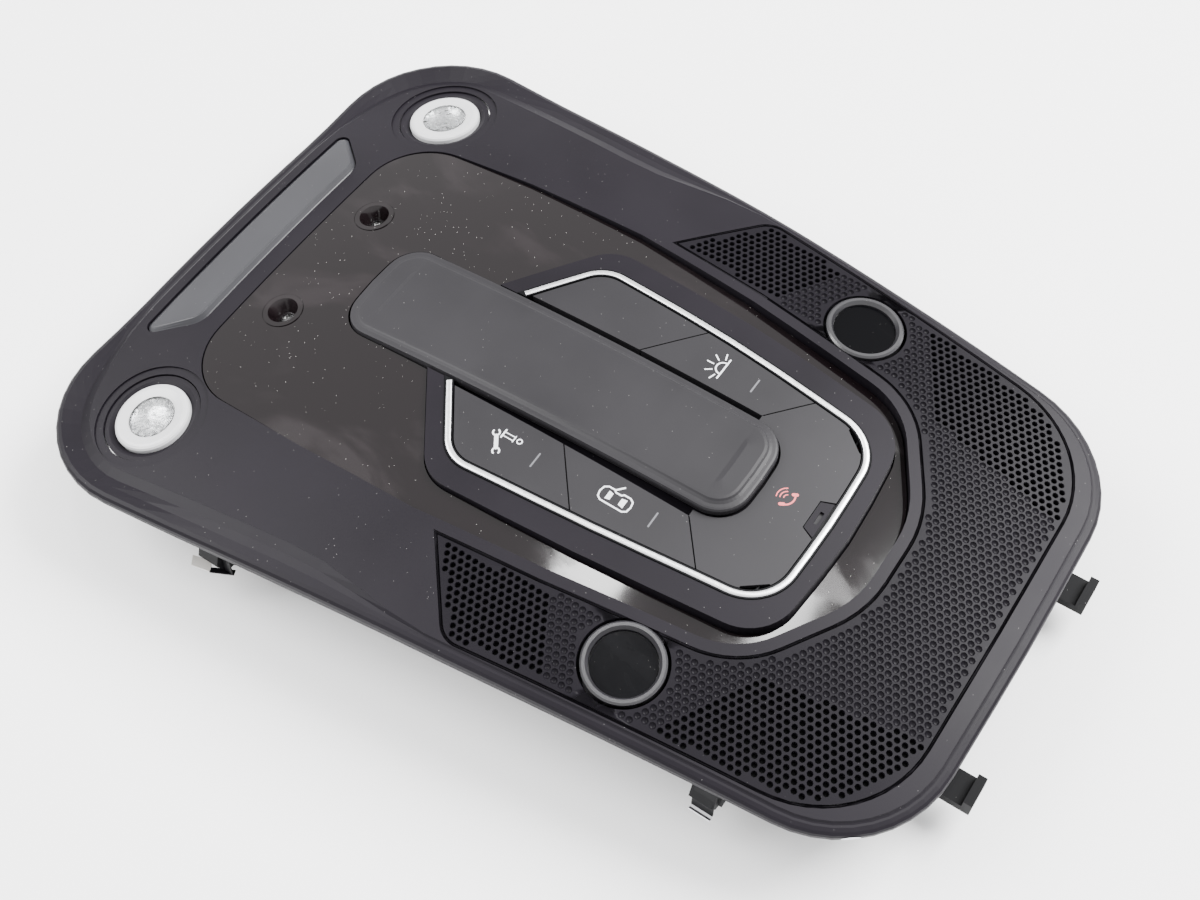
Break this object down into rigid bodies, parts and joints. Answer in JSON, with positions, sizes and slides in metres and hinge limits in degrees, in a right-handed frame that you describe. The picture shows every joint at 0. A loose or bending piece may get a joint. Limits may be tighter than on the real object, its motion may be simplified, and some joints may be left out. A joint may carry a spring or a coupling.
{
  "type": "car dome light",
  "caption": "Overhead car dome light console: round reading lamps, push caps with a bright strip, hinged emergency flap, perforated rear field, clip-in back housing.",
  "frame": {"origin": "on the lowest face of the back housing, on the centre line and about midway between the lamp end and the rear end", "axes": "+X from the reading lamp end to the perforated rear end, +Y across, +Z out of the visible face"},
  "size_m": [0.2825, 0.1958, 0.0464],
  "materials": {
    "soft_black": "fine matte soft-touch",
    "soft_grey": "fine matte soft-touch",
    "piano_black": "high gloss",
    "bright_metal": "satin bright",
    "milky_white": "milky translucent",
    "clear_lens": "clear with fine optics",
    "smooth_dark": "smooth satin",
    "red_plastic": "satin",
    "housing_black": "moulded",
    "board_green": "solder mask",
    "brass_pins": "bright",
    "steel": "zinc plated"
  },
  "bodies": {
    "console": {"main_bezel": "soft_black", "speaker_grille": "soft_black", "gloss_panel": "piano_black", "button_frame": "soft_black", "bright_strip": "bright_metal", "center_tongue": "soft_grey", "blank_cap": "soft_grey", "hinge_pins": "steel", "front_trim": "soft_grey", "lamp_trim_left": "soft_black", "lamp_trim_right": "soft_black", "lamp_ring_left": "milky_white", "lamp_ring_right": "milky_white", "lamp_lens_left": "clear_lens", "lamp_lens_right": "clear_lens", "lamp_cup_left": "housing_black", "lamp_cup_right": "housing_black", "lamp_board_left": "board_green", "lamp_board_right": "board_green", "cover_ring_left": "soft_black", "cover_ring_right": "soft_black", "cover_disc_left": "smooth_dark", "cover_disc_right": "smooth_dark", "sensor_pod_left": "housing_black", "sensor_pod_right": "housing_black", "funnel_left": "piano_black", "funnel_right": "piano_black", "light_outlet_left": "clear_lens", "light_outlet_right": "clear_lens", "circuit_board": "board_green", "tact_switches": "housing_black", "rear_housing": "housing_black", "back_cover": "housing_black", "connector_socket": "housing_black", "connector_pins": "brass_pins", "spring_clips": "steel", "housing_screws": "steel", "bezel_screws": "steel"},
    "interior_light_cap": {"interior_light_button": "soft_grey"},
    "breakdown_cap": {"breakdown_button": "soft_grey"},
    "door_light_cap": {"door_light_button": "soft_grey"},
    "flap": {"emergency_flap": "soft_grey", "flap_tab": "soft_black"},
    "emergency_plunger": {"emergency_button": "red_plastic"}
  },
  "joints": [
    {"name": "press_interior_light", "type": "slide", "parent": "console", "child": "interior_light_cap", "axis": [0, 0, -1], "range_m": [0, 0.0008], "stiffness_N_per_m": 900, "springref_m": -0.0008},
    {"name": "press_breakdown", "type": "slide", "parent": "console", "child": "breakdown_cap", "axis": [0, 0, -1], "range_m": [0, 0.0008], "stiffness_N_per_m": 900, "springref_m": -0.0008},
    {"name": "press_door_light", "type": "slide", "parent": "console", "child": "door_light_cap", "axis": [0, 0, -1], "range_m": [0, 0.0008], "stiffness_N_per_m": 900, "springref_m": -0.0008},
    {"name": "flap_hinge", "type": "hinge", "parent": "console", "child": "flap", "pos_m": [0.0755, 0, 0.03903], "axis": [0, 1, 0], "range_deg": [0, 60]},
    {"name": "press_emergency", "type": "slide", "parent": "console", "child": "emergency_plunger", "axis": [0, 0, -1], "range_m": [0, 0.0008], "stiffness_N_per_m": 900, "springref_m": -0.0008}
  ]
}
